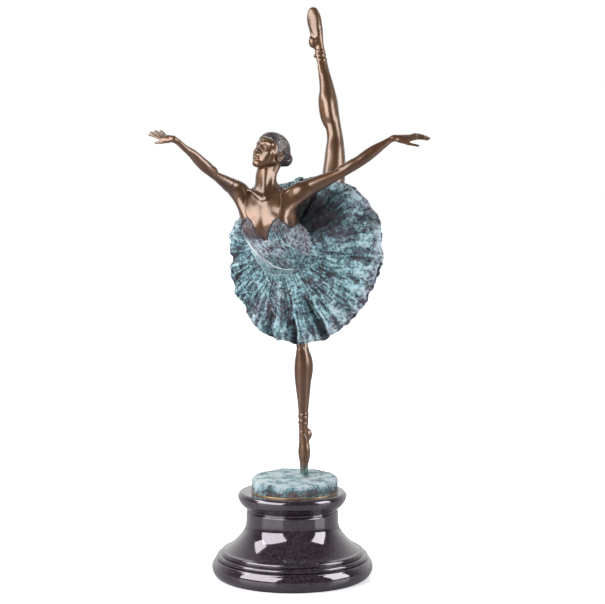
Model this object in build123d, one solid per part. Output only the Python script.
"""Bronze dancer statuette: cast sections welded over pins, standing on a bronze ground disc and a turned marble base.

Units are millimetres and +Z is up. The origin is the centre of the felt face that the statuette rests on.
-Y is the front. "Left" and "right" name the dancer's own limbs: the right leg stands and the left leg is raised.
Each casting is a loft of oval sections, and a section is (centre, axis, front, half width, half depth).
"""

from build123d import *
from math import cos, pi, radians, sin
import os

os.makedirs("parts", exist_ok=True)

# ---- driving dimensions -------------------------------------------------------------------------------------
BASE_RADIUS = 76.0  # widest bead of the marble foot
FELT_RADIUS = 70.0
FELT_TOP = 1.5
FOOT_TOP = 17.5  # joint between the marble foot and the flared body
BODY_TOP = 63.0  # joint between the flared body and the cap
CAP_TOP = 81.0
NECK_RADIUS = 43.5  # narrowest part of the flared body
CAP_RADIUS = 51.3
GROUND_TOP = 94.0
GROUND_RADIUS = 41.0
GROUND_X = 2.3  # the ground disc sits a little off the base's axis
GROUND_WALL = 4.0

ROD_RADIUS = 4.0  # M8 tie rod
ROD_HOLE_RADIUS = 4.5
COUNTERBORE_RADIUS = 14.0
COUNTERBORE_TOP = 14.0
WASHER_RADIUS = 11.0
WASHER_THICKNESS = 1.6
NUT_FLATS = 13.0
NUT_HEIGHT = 6.5
ROD_TOP = 90.0

PIN_RADIUS = 1.7  # steel pin through the standing foot
SHOULDER_PIN_RADIUS = 2.0
HIP_PIN_RADIUS = 3.0
NECK_PIN_RADIUS = 2.5
PALM_LENGTH = 14.0
FINGER_LENGTHS = (15.0, 16.5, 15.5, 12.5)  # index, middle, ring, little
FINGER_RADIUS = 1.3
SLEEVE_HALF = (17.0, 14.0)  # outside of the oval sleeve that lines up the torso and hips
SLEEVE_WALL = 2.5
SLEEVE_REACH = 7.0  # how far the sleeve runs into each casting

SKIRT_THICKNESS = 2.6
SKIRT_PLEATS = 34
SKIRT_MEAN_REACH = 77.0  # waist centre to hem, averaged round the skirt
SKIRT_SHIFT = 17.0  # the hem is this far off centre, towards the dancer's lower left
SKIRT_SHIFT_AT = -30.0  # degrees round the skirt's plane, from the dancer's left
SKIRT_LOBE = 3.0  # height of the hem's three broad lobes
SKIRT_LOBE_AT = 30.0
SKIRT_SWEEP = 12.0  # degrees that the skirt sweeps back from its waist
SKIRT_YAW = 22.0
SKIRT_TILT = 8.0

WAIST = Vector(-7.5, -12.0, 312.0)
WAIST_AXIS = Vector(
    -sin(radians(SKIRT_YAW)) * cos(radians(SKIRT_TILT)),
    -cos(radians(SKIRT_YAW)) * cos(radians(SKIRT_TILT)),
    sin(radians(SKIRT_TILT)),
)
WAIST_HALF = (27.0, 24.0)
WAIST_FRONT = Vector(0.6, 0.0, -0.8)  # the belly side, because the pelvis is tipped forward and opened to her left


# ---- section and loft helpers -------------------------------------------------------------------------------
def cross_frame(axis, front):
    """Unit vectors (front, side) square to the axis."""
    axis = Vector(*axis).normalized()
    front = Vector(*front)
    front = (front - axis * front.dot(axis)).normalized()
    return front, axis.cross(front)


def ring(centre, axis, front, half_width, half_depth, points=12):
    """A closed oval wire square to the axis."""
    forward, side = cross_frame(axis, front)
    centre = Vector(*centre)
    turns = [2 * pi * i / points for i in range(points)]
    outline = [centre + side * (half_width * cos(t)) + forward * (half_depth * sin(t)) for t in turns]
    return Wire([Edge.make_spline(outline, periodic=True)])


def cast(sections):
    """A solid lofted smoothly through oval sections."""
    return Solid.make_loft([ring(*s) for s in sections])


def shrunk(sections, wall):
    """The same sections, pulled in by a wall thickness."""
    return [(c, a, f, w - wall, d - wall) for c, a, f, w, d in sections]


def limb(stations, front, first_axis=None):
    """Sections along a limb from (centre, half width, half depth) stations, square to the line between neighbours."""
    sections = []
    last = len(stations) - 1
    for i, (centre, half_width, half_depth) in enumerate(stations):
        before = Vector(*stations[max(i - 1, 0)][0])
        after = Vector(*stations[min(i + 1, last)][0])
        axis = first_axis if i == 0 and first_axis else after - before
        sections.append((centre, axis, front, half_width, half_depth))
    return sections


def pin_between(start, end, radius):
    """A round pin from one point to another."""
    start, end = Vector(*start), Vector(*end)
    return Solid.make_cylinder(radius, (end - start).length, Plane(origin=start, z_dir=end - start))


def ellipsoid(plane, centre, half):
    """An ellipsoid in a local plane's axes."""
    ball = scale(Sphere(1.0), by=half)
    return plane * (Pos(*centre) * ball)


def one_solid(shape):
    """The largest solid of a shape, which drops slivers left by a cut."""
    return max(shape.solids(), key=lambda s: s.volume)


# ---- marble base --------------------------------------------------------------------------------------------
def turned(profile):
    """A marble piece turned about the Z axis from its outline, with the tie rod's hole."""
    face = make_face(profile)
    piece = revolve(Plane.XZ * face, Axis.Z)
    return piece - Pos(0, 0, CAP_TOP / 2) * Cylinder(ROD_HOLE_RADIUS, 2 * CAP_TOP)


def closed_outline(edges, bottom, top):
    """Joins an outer edge, drawn from bottom to top, to the axis."""
    start, end = edges[0] @ 0, edges[-1] @ 1
    return edges + [
        Line(end, (0, top)),
        Line((0, top), (0, bottom)),
        Line((0, bottom), start),
    ]


def base_foot():
    low, high = FELT_TOP, FOOT_TOP
    edges = [
        ThreePointArc((BASE_RADIUS - 3.5, low), (BASE_RADIUS, 9.0), (BASE_RADIUS - 2.4, 15.8)),
        ThreePointArc((BASE_RADIUS - 2.4, 15.8), (BASE_RADIUS - 3.1, 17.0), (BASE_RADIUS - 4.4, high)),
    ]
    foot = turned(closed_outline(edges, low, high))
    depth = COUNTERBORE_TOP - low
    return foot - Pos(0, 0, low + depth / 2) * Cylinder(COUNTERBORE_RADIUS, depth)


def base_body():
    low, high = FOOT_TOP, BODY_TOP
    bead, step = BASE_RADIUS - 5.6, BASE_RADIUS - 10.4
    edges = [
        ThreePointArc((bead, low), (bead + 1.1, low + 2.0), (bead - 0.4, low + 4.0)),
        Line((bead - 0.4, low + 4.0), (step + 1.4, low + 4.4)),
        ThreePointArc((step + 1.4, low + 4.4), (step + 1.9, low + 6.2), (step + 0.6, low + 8.0)),
        Line((step + 0.6, low + 8.0), (step - 2.2, low + 8.6)),
        Spline(
            [(step - 2.2, low + 8.6), (NECK_RADIUS + 10.6, 33.6), (NECK_RADIUS + 2.6, 43.5), (NECK_RADIUS, 56.0)],
            tangents=[(-1.6, 1.0), (0.0, 1.0)],
        ),
        Line((NECK_RADIUS, 56.0), (NECK_RADIUS, high - 1.2)),
        ThreePointArc((NECK_RADIUS, high - 1.2), (NECK_RADIUS - 0.4, high - 0.3), (NECK_RADIUS - 1.3, high)),
    ]
    return turned(closed_outline(edges, low, high))


def base_cap():
    low, high = BODY_TOP, CAP_TOP
    groove = NECK_RADIUS - 3.3
    edges = [
        Line((groove, low), (groove, low + 1.6)),
        ThreePointArc((groove, low + 1.6), (CAP_RADIUS - 4.0, 68.6), (CAP_RADIUS, 76.2)),
        ThreePointArc((CAP_RADIUS, 76.2), (CAP_RADIUS - 0.7, 79.3), (CAP_RADIUS - 3.0, high)),
    ]
    return turned(closed_outline(edges, low, high))


# ---- fixings under the base ---------------------------------------------------------------------------------
def fixings():
    washer_low = COUNTERBORE_TOP - WASHER_THICKNESS
    nut_low = washer_low - NUT_HEIGHT
    washer = Cylinder(WASHER_RADIUS, WASHER_THICKNESS) - Cylinder(ROD_HOLE_RADIUS, WASHER_THICKNESS)
    hexagon = extrude(RegularPolygon(NUT_FLATS / 2, 6, major_radius=False), NUT_HEIGHT)
    hexagon = hexagon & (Pos(0, 0, NUT_HEIGHT / 2) * Cylinder(NUT_FLATS / 2 * 1.13, NUT_HEIGHT))
    nut = hexagon - Pos(0, 0, NUT_HEIGHT / 2) * Cylinder(ROD_RADIUS, NUT_HEIGHT)
    rod_low = nut_low - 1.5
    rod = Pos(0, 0, (rod_low + ROD_TOP) / 2) * Cylinder(ROD_RADIUS, ROD_TOP - rod_low)
    rod = chamfer(rod.edges().filter_by(GeomType.CIRCLE), 0.6)
    return {
        "tie_rod": rod,
        "rod_washer": Pos(0, 0, washer_low + WASHER_THICKNESS / 2) * washer,
        "rod_nut": Pos(0, 0, nut_low) * nut,
        "felt_pad": Pos(0, 0, FELT_TOP / 2) * Cylinder(FELT_RADIUS, FELT_TOP),
    }


# ---- bronze ground disc -------------------------------------------------------------------------------------
FOOT_AT = Vector(11.5, 16.0, GROUND_TOP)  # where the standing toe meets the ground
PIN_LOW = Vector(11.6, 16.0, 86.0)
PIN_HIGH = Vector(10.7, 16.0, 146.0)


def ground_disc():
    """A cast disc, hollow below, with bosses for the tie rod and for the pin of the standing foot."""
    low, high = CAP_TOP, GROUND_TOP
    disc = Pos(GROUND_X, 0, (low + high) / 2) * Cone(GROUND_RADIUS, GROUND_RADIUS - 1.4, high - low)
    disc = fillet(disc.edges().sort_by(Axis.Z)[-1], 1.5)
    hollow_top = high - GROUND_WALL - 0.5
    hollow = Pos(GROUND_X, 0, (low + hollow_top) / 2) * Cylinder(GROUND_RADIUS - GROUND_WALL, hollow_top - low)
    boss = Pos(0, 0, (low + hollow_top) / 2) * Cylinder(9.0, hollow_top - low)
    pin_boss = Pos(FOOT_AT.X, FOOT_AT.Y, (85.0 + hollow_top) / 2) * Cylinder(5.0, hollow_top - 85.0)
    rod_hole = Pos(0, 0, (low + ROD_TOP + 0.5) / 2) * Cylinder(ROD_RADIUS, ROD_TOP + 0.5 - low)
    return disc - hollow + boss + pin_boss - rod_hole - foot_pin()


def foot_pin():
    return pin_between(PIN_LOW, PIN_HIGH, PIN_RADIUS)


# ---- legs ---------------------------------------------------------------------------------------------------
STANDING_FRONT = Vector(-0.55, -0.83, 0.0)
RAISED_FRONT = Vector(0.72, 0.62, -0.25)
STANDING_HIP = Vector(6.5, 16.0, 288.0)
RAISED_HIP = Vector(30.5, 22.0, 346.0)
STANDING_HIP_AXIS = Vector(0.07, 0.0, -1.0)
RAISED_HIP_AXIS = Vector(0.3, 0.4, 1.0)


def standing_leg():
    """The right leg from the hip joint down to the toe of the pointe shoe, with the heel as its own lobe."""
    stations = [
        (STANDING_HIP, 14.0, 14.5),
        ((8.2, 16.4, 268.0), 12.4, 13.0),
        ((9.2, 16.6, 248.0), 10.4, 10.8),
        ((9.7, 16.2, 230.0), 7.9, 8.4),
        ((9.8, 16.4, 212.0), 6.0, 6.8),
        ((10.0, 17.9, 194.0), 8.1, 8.7),
        ((10.2, 17.8, 176.0), 6.8, 7.4),
        ((10.4, 16.7, 158.0), 4.9, 5.3),
        ((10.4, 16.0, 141.0), 4.0, 4.9),
        ((11.0, 16.1, 126.0), 4.7, 5.2),
        ((11.4, 16.0, 110.0), 5.0, 4.5),
        (FOOT_AT, 4.0, 3.8),
    ]
    sections = limb(stations, STANDING_FRONT, STANDING_HIP_AXIS)
    leg = cast(sections[:4]) + cast(sections[3:])
    heel_plane = Plane(origin=(13.4, 20.0, 134.0), x_dir=(-0.83, 0.55, 0.0), z_dir=(0.0, 0.0, 1.0))
    leg = leg + ellipsoid(heel_plane, (0, 0, 0), (3.4, 3.6, 5.2))
    leg = leg & (Pos(0, 0, GROUND_TOP + 150) * Box(200, 200, 300))
    return leg - foot_pin() - hip_pin(STANDING_HIP, STANDING_HIP_AXIS)


def raised_leg():
    """The left leg from the hip joint up to the toe of the pointe shoe."""
    stations = [
        (RAISED_HIP, 14.5, 14.5),
        ((35.8, 27.0, 360.0), 12.8, 13.2),
        ((39.4, 33.5, 378.0), 10.6, 11.2),
        ((40.4, 39.0, 394.0), 9.8, 10.2),
        ((40.8, 43.0, 406.0), 8.2, 8.8),
        ((40.2, 46.5, 417.0), 7.1, 7.8),
        ((38.4, 48.5, 426.0), 7.2, 8.0),
        ((36.0, 50.5, 436.0), 8.3, 9.0),
        ((34.6, 53.0, 446.0), 8.4, 9.2),
        ((33.0, 57.0, 460.0), 6.8, 7.4),
        ((30.0, 62.0, 476.0), 5.2, 5.6),
        ((27.2, 66.0, 491.0), 4.4, 4.9),
        ((24.8, 68.4, 500.0), 4.4, 5.6),
        ((23.0, 70.6, 510.0), 5.6, 5.0),
        ((21.2, 73.2, 522.0), 6.6, 4.4),
        ((19.8, 75.0, 531.0), 5.9, 3.8),
        ((19.0, 76.0, 537.0), 3.6, 2.6),
    ]
    sections = limb(stations, RAISED_FRONT, RAISED_HIP_AXIS)
    leg = cast(sections)
    heel_plane = Plane(origin=(19.6, 64.6, 504.0), x_dir=(0.6, -0.6, 0.2), z_dir=(-0.2, 0.25, 1.0))
    leg = leg + ellipsoid(heel_plane, (0, 0, 0), (3.8, 4.0, 5.4))
    return leg - hip_pin(RAISED_HIP, RAISED_HIP_AXIS)


def hip_pin(joint, axis):
    reach = Vector(*axis).normalized() * 12.0
    return pin_between(joint - reach, joint + reach, HIP_PIN_RADIUS)


# ---- hips, torso and head -----------------------------------------------------------------------------------
def waist_oval(half, length):
    """An oval bar square to the waist and centred on it."""
    _, side = cross_frame(WAIST_AXIS, WAIST_FRONT)
    plane = Plane(origin=WAIST, x_dir=side, z_dir=WAIST_AXIS)
    return extrude(plane * Ellipse(*half), length / 2, both=True)


def hips():
    """The pelvis with a thigh root on each side, hollow towards the waist."""
    forward, _ = cross_frame(WAIST_AXIS, WAIST_FRONT)
    trunk = [
        (WAIST, WAIST_AXIS * -1, forward, *WAIST_HALF),
        ((-1.0, -2.0, 311.0), (0.5, 0.85, 0.0), forward, 26.0, 23.0),
        ((7.0, 9.0, 313.0), (0.55, 0.8, 0.1), forward, 26.0, 22.5),
        ((13.0, 18.0, 316.0), (0.55, 0.8, 0.2), forward, 21.0, 18.0),
        ((17.0, 24.5, 318.5), (0.55, 0.8, 0.2), forward, 11.0, 9.5),
    ]
    standing_root = [
        ((9.0, 12.0, 316.0), (-0.2, 0.1, -1.0), STANDING_FRONT, 15.5, 14.5),
        ((7.0, 15.0, 301.0), (-0.1, 0.0, -1.0), STANDING_FRONT, 14.8, 14.8),
        (STANDING_HIP, STANDING_HIP_AXIS, STANDING_FRONT, 14.0, 14.5),
    ]
    raised_root = [
        ((16.0, 12.0, 314.0), (0.5, 0.2, 1.0), RAISED_FRONT, 15.0, 14.0),
        ((24.0, 16.0, 330.0), (0.4, 0.3, 1.0), RAISED_FRONT, 15.0, 14.8),
        (RAISED_HIP, RAISED_HIP_AXIS, RAISED_FRONT, 14.5, 14.5),
    ]
    body = cast(trunk) + cast(standing_root) + cast(raised_root)
    cavity = ellipsoid(Plane(origin=(4.0, 4.0, 313.0), z_dir=WAIST_AXIS), (0, 0, 0), (15.0, 15.0, 12.0))
    socket = waist_oval(SLEEVE_HALF, 2 * SLEEVE_REACH)
    body = body - cavity - socket
    return body - hip_pin(STANDING_HIP, STANDING_HIP_AXIS) - hip_pin(RAISED_HIP, RAISED_HIP_AXIS)


def waist_sleeve():
    bore = (SLEEVE_HALF[0] - SLEEVE_WALL, SLEEVE_HALF[1] - SLEEVE_WALL)
    return waist_oval(SLEEVE_HALF, 2 * SLEEVE_REACH) - waist_oval(bore, 4 * SLEEVE_REACH)


TORSO = [  # waist to neck: the trunk comes forward out of the skirt, then bends up
    (WAIST, WAIST_AXIS, cross_frame(WAIST_AXIS, WAIST_FRONT)[0], *WAIST_HALF),
    ((-10.0, -21.0, 315.0), (-0.3, -0.8, 0.5), (0.35, -0.2, -0.9), 25.0, 21.5),
    ((-14.0, -28.5, 322.0), (-0.3, -0.4, 0.85), (0.1, -0.8, -0.5), 24.0, 18.5),
    ((-18.0, -32.5, 331.0), (-0.2, -0.1, 0.97), (-0.2, -0.97, -0.1), 24.6, 17.0),
    ((-20.5, -33.0, 343.0), (-0.15, 0.12, 0.97), (-0.25, -0.97, 0.0), 26.0, 17.5),
    ((-22.5, -30.5, 354.0), (-0.12, 0.2, 0.95), (-0.25, -0.97, 0.0), 25.0, 15.0),
    ((-23.6, -28.5, 362.0), (-0.1, 0.15, 0.97), (-0.25, -0.97, 0.0), 18.5, 11.0),
    ((-24.2, -27.4, 367.5), (-0.05, 0.1, 0.97), (-0.25, -0.97, 0.0), 11.5, 9.2),
    ((-24.4, -26.8, 373.0), (0.02, 0.08, 1.0), (-0.3, -0.95, 0.0), 8.6, 8.6),
    ((-24.2, -26.4, 378.0), (0.1, 0.1, 1.0), (-0.35, -0.93, 0.0), 8.2, 8.4),
]
NECK_JOINT = Vector(-24.2, -26.4, 378.0)
NECK_AXIS = Vector(0.1, 0.1, 1.0)
RIGHT_SHOULDER = Vector(-52.0, -30.5, 368.0)
RIGHT_SHOULDER_AXIS = Vector(-0.62, -0.55, 0.25)
LEFT_SHOULDER = Vector(14.0, -35.5, 367.5)
LEFT_SHOULDER_AXIS = Vector(0.9, -0.06, 0.38)
ARM_FRONT = Vector(0.0, -1.0, 0.0)


def torso():
    """The chest, bodice and lower neck, with a stump for each arm, hollow from the waist."""
    right_stump = [
        ((-31.0, -27.5, 357.0), (-0.9, -0.1, 0.25), ARM_FRONT, 12.5, 9.5),
        ((-43.0, -27.0, 364.0), (-0.85, -0.25, 0.3), ARM_FRONT, 9.6, 8.6),
        (RIGHT_SHOULDER, RIGHT_SHOULDER_AXIS, ARM_FRONT, 7.3, 7.2),
    ]
    left_stump = [
        ((-15.0, -29.5, 356.0), (0.9, -0.1, 0.25), ARM_FRONT, 12.5, 9.5),
        ((0.0, -33.5, 360.0), (0.9, -0.15, 0.4), ARM_FRONT, 11.0, 9.0),
        (LEFT_SHOULDER, LEFT_SHOULDER_AXIS, ARM_FRONT, 8.4, 7.6),
    ]
    bust_plane = Plane(origin=(-27.0, -45.0, 338.5), x_dir=(0.97, -0.23, 0.0), z_dir=(0.0, 0.0, 1.0))
    body = cast(TORSO) + cast(right_stump) + cast(left_stump)
    for side in (-1, 1):
        body = body + ellipsoid(bust_plane, (12.6 * side, 0.0, 0.0), (9.5, 8.5, 9.5))
    cavity = cast(shrunk(TORSO[1:6], 6.0))
    body = body - cavity - waist_oval(SLEEVE_HALF, 2 * SLEEVE_REACH)
    for name in ("neck_pin", "right_shoulder_pin", "left_shoulder_pin"):
        body = body - PINS[name]()
    return one_solid(body)


def joint_pin(joint, axis, reach, radius):
    step = Vector(*axis).normalized() * reach
    return pin_between(Vector(*joint) - step, Vector(*joint) + step, radius)


PINS = {
    "foot_pin": foot_pin,
    "standing_hip_pin": lambda: hip_pin(STANDING_HIP, STANDING_HIP_AXIS),
    "raised_hip_pin": lambda: hip_pin(RAISED_HIP, RAISED_HIP_AXIS),
    "neck_pin": lambda: joint_pin(NECK_JOINT, NECK_AXIS, 7.0, NECK_PIN_RADIUS),
    "right_shoulder_pin": lambda: joint_pin(RIGHT_SHOULDER, RIGHT_SHOULDER_AXIS, 6.0, SHOULDER_PIN_RADIUS),
    "left_shoulder_pin": lambda: joint_pin(LEFT_SHOULDER, LEFT_SHOULDER_AXIS, 6.0, SHOULDER_PIN_RADIUS),
}

HEAD_CENTRE = Vector(-19.8, -22.5, 399.0)
HEAD_YAW, HEAD_PITCH = 40.0, 29.0
FACE = Vector(
    -sin(radians(HEAD_YAW)) * cos(radians(HEAD_PITCH)),
    -cos(radians(HEAD_YAW)) * cos(radians(HEAD_PITCH)),
    sin(radians(HEAD_PITCH)),
)
HEAD_LEFT = Vector(0.80, -0.58, -0.12)  # towards her left ear, with the head leaning a little to her left


def head_plane():
    """Local axes of the head: x to her left ear, y out of the back of the head, z to the crown."""
    left = (HEAD_LEFT - FACE * HEAD_LEFT.dot(FACE)).normalized()
    return Plane(origin=HEAD_CENTRE, x_dir=left, z_dir=left.cross(FACE * -1))


def head():
    """Skull, jaw, plain features, ears and a low bun, on the upper neck."""
    plane = head_plane()
    jaw_rings = [  # height, half width, middle in y, half depth
        (6.0, 12.4, -2.0, 13.2),
        (0.0, 12.2, -3.0, 12.6),
        (-7.0, 11.2, -5.0, 10.4),
        (-13.0, 8.8, -7.6, 7.6),
        (-17.6, 5.2, -9.4, 4.6),
    ]
    jaw = Solid.make_loft(
        [
            ring(plane.from_local_coords(Vector(0, y, z)), plane.z_dir, FACE, half_width, half_depth)
            for z, half_width, y, half_depth in jaw_rings
        ]
    )
    skull = ellipsoid(plane, (0, 1.5, 5.5), (13.4, 16.0, 14.0))
    nose = ellipsoid(plane, (0, -15.2, -4.0), (1.9, 3.0, 4.2))
    bun = ellipsoid(plane, (3.4, 16.6, 3.4), (8.6, 5.6, 8.6))
    shape = skull + jaw + nose + bun
    for side in (-1, 1):
        shape = shape + ellipsoid(plane, (12.9 * side, 2.0, -2.5), (1.5, 2.6, 4.2))
    neck = [
        (NECK_JOINT, NECK_AXIS, (-0.35, -0.93, 0.0), 8.2, 8.4),
        ((-23.0, -24.9, 384.5), (0.15, 0.2, 1.0), (-0.4, -0.9, 0.0), 8.3, 8.8),
        ((-20.5, -22.0, 392.0), (0.25, 0.3, 1.0), (-0.45, -0.9, 0.0), 8.2, 9.0),
    ]
    return shape + cast(neck) - PINS["neck_pin"]()


# ---- arms and hands -----------------------------------------------------------------------------------------
def finger(root, tip, arch, radius):
    """A tapered finger that arches between its root and its tip."""
    middle = (root + tip) * 0.5 + arch
    stations = [(root, radius, radius), (middle, radius * 0.9, radius * 0.9), (tip, radius * 0.72, radius * 0.72)]
    return cast(limb(stations, (0.1, -0.9, 0.3)))


def hand(wrist, reach, finger_reach, thumb_side, splay, half_wrist, stretch=1.0):
    """An open hand, palm down: fingers fan by splay degrees either side of finger_reach."""
    palm_length = PALM_LENGTH * stretch
    reach, finger_reach = Vector(*reach).normalized(), Vector(*finger_reach).normalized()
    thumb_side, _ = cross_frame(reach, thumb_side)
    fan_side, _ = cross_frame(finger_reach, thumb_side)
    back = reach.cross(thumb_side)
    back = back if back.Z > 0 else back * -1
    palm = [
        (wrist, reach, thumb_side, half_wrist * 0.85, half_wrist * 1.1),
        (wrist + reach * 5.0, reach, thumb_side, 2.1, 4.2),
        (wrist + reach * (palm_length - 3.0), reach, thumb_side, 1.8, 5.0),
        (wrist + reach * palm_length, reach, thumb_side, 1.3, 4.6),
    ]
    shape = cast(palm)
    for i, length in enumerate(FINGER_LENGTHS):
        turn = radians(splay * (1 - 2 * i / 3))
        along = finger_reach * cos(turn) + fan_side * sin(turn)
        root = wrist + reach * (palm_length - 1.5) + thumb_side * (3.4 - 2.25 * i)
        shape = shape + finger(root, root + along * length * stretch, back * 0.9, FINGER_RADIUS)
    thumb_root = wrist + reach * 4.5 + thumb_side * 2.8 - back * 0.8
    thumb_tip = thumb_root + reach * 13.5 * stretch + thumb_side * 5.0 - back * 3.0
    return shape + finger(thumb_root, thumb_tip, thumb_side * 0.8, FINGER_RADIUS * 1.25)


def right_arm():
    wrist = Vector(-102.5, -76.0, 412.5)
    stations = [
        (RIGHT_SHOULDER, 7.3, 7.2),
        ((-60.5, -39.0, 373.0), 6.4, 6.2),
        ((-68.0, -48.0, 378.0), 5.6, 5.6),
        ((-75.0, -55.5, 383.6), 5.6, 5.6),
        ((-81.0, -60.5, 390.0), 5.4, 5.2),
        ((-90.0, -67.5, 400.0), 3.9, 3.8),
        (wrist, 2.9, 2.5),
    ]
    arm = cast(limb(stations, ARM_FRONT, RIGHT_SHOULDER_AXIS))
    arm = arm + hand(wrist, (-0.88, 0.3, 0.14), (-0.66, 0.55, 0.4), (-0.3, -0.8, -0.5), 24.0, 2.7)
    return arm - PINS["right_shoulder_pin"]()


def left_arm():
    wrist = Vector(95.0, -34.0, 414.8)
    stations = [
        (LEFT_SHOULDER, 8.4, 7.6),
        ((26.0, -37.0, 373.0), 7.0, 6.6),
        ((41.0, -38.6, 380.0), 5.8, 5.6),
        ((54.5, -39.5, 387.5), 5.2, 5.0),
        ((66.0, -39.0, 395.5), 5.4, 5.0),
        ((80.0, -37.0, 405.5), 4.2, 4.0),
        (wrist, 3.1, 2.6),
    ]
    arm = cast(limb(stations, ARM_FRONT, LEFT_SHOULDER_AXIS))
    arm = arm + hand(wrist, (1.0, 0.0, 0.02), (0.98, 0.0, 0.05), (0.2, -0.8, -0.55), 7.0, 2.8, stretch=1.14)
    return arm - PINS["left_shoulder_pin"]()


# ---- skirt --------------------------------------------------------------------------------------------------
def skirt_frame():
    """Unit vectors (across to her left, up) in the skirt's plane."""
    across = Vector(cos(radians(SKIRT_YAW)), -sin(radians(SKIRT_YAW)), 0.0)
    return across, across.cross(WAIST_AXIS) * -1


def skirt_point(turn, reach, lift):
    """A point of the skirt: turn in radians from her left, reach from the waist centre, lift along the waist axis."""
    across, up = skirt_frame()
    outward = across * cos(turn) + up * sin(turn)
    sweep = radians(SKIRT_SWEEP)
    return WAIST + outward * (reach * cos(sweep)) + WAIST_AXIS * (lift - reach * sin(sweep))


def skirt_edge(reach_at, pleat, lift, points=4 * SKIRT_PLEATS):
    """A closed edge round the skirt, with pleats that rise and fall along the waist axis."""
    turns = [2 * pi * i / points for i in range(points)]
    outline = [skirt_point(t, reach_at(t), lift + pleat * sin(SKIRT_PLEATS * t)) for t in turns]
    return Edge.make_spline(outline, periodic=True)


def hem_reach(turn):
    shift = SKIRT_SHIFT * cos(turn - radians(SKIRT_SHIFT_AT))
    lobes = SKIRT_LOBE * cos(3 * (turn - radians(SKIRT_LOBE_AT)))
    return SKIRT_MEAN_REACH + shift + lobes


def waist_reach(_turn):
    return WAIST_HALF[1] - 3.0


def skirt():
    """A stiff pleated disc round the hips, fitted to the hips and torso where it meets them."""
    half = SKIRT_THICKNESS / 2
    hem_front, hem_back = skirt_edge(hem_reach, 1.6, half), skirt_edge(hem_reach, 1.6, -half)
    waist_front, waist_back = skirt_edge(waist_reach, 0.2, half + 2.0), skirt_edge(waist_reach, 0.2, 2.0 - half)
    faces = [
        Face.make_surface_from_curves(waist_front, hem_front),
        Face.make_surface_from_curves(waist_back, hem_back),
        Face.make_surface_from_curves(hem_front, hem_back),
        Face.make_surface_from_curves(waist_front, waist_back),
    ]
    sheet = Solid(Shell(faces))
    return sheet


def build():
    torso_solid, hips_solid = torso(), hips()
    nodes = {
        "base_foot": base_foot(),
        "base_body": base_body(),
        "base_cap": base_cap(),
        "ground_disc": ground_disc(),
        "standing_leg": one_solid(standing_leg() - hips_solid),
        "raised_leg": one_solid(raised_leg() - hips_solid),
        "hips": hips_solid,
        "torso": torso_solid,
        "waist_sleeve": waist_sleeve(),
        "head": head(),
        "right_arm": one_solid(right_arm() - torso_solid),
        "left_arm": one_solid(left_arm() - torso_solid),
        "skirt": one_solid(skirt() - torso_solid - hips_solid),
    }
    nodes.update(fixings())
    nodes.update({name: make() for name, make in PINS.items()})
    return nodes


for node, shape in build().items():
    export_step(Compound(children=shape.solids(), label=node), f"parts/{node}.step")
